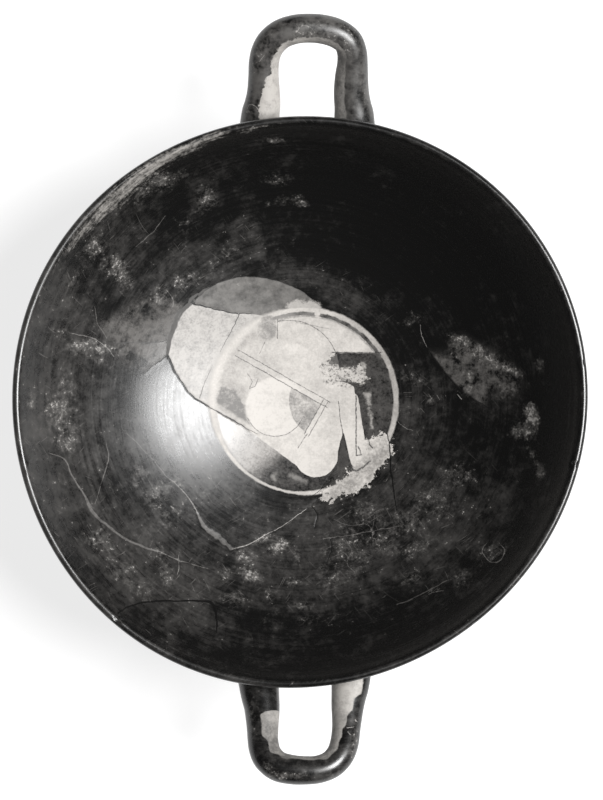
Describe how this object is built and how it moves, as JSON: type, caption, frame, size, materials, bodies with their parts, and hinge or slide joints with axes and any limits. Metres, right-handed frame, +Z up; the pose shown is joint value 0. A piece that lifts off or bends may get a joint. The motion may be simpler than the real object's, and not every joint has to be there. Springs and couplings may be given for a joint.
{
  "type": "greek drinking cup",
  "caption": "Shallow two-handled pottery drinking cup on a stemmed foot, black-glossed, with a round painted picture inside, broken and mended.",
  "frame": {"origin": "centre of the foot's underside, on the plane that the cup stands on", "axes": "+Z up along the cup's axis, +Y through the far handle, +X across the handles"},
  "size_m": [0.2305, 0.3094, 0.0912],
  "materials": {
    "black_gloss": "fired black gloss over orange clay, worn and mended"
  },
  "bodies": {
    "root": {"kylix": "black_gloss"}
  },
  "joints": []
}
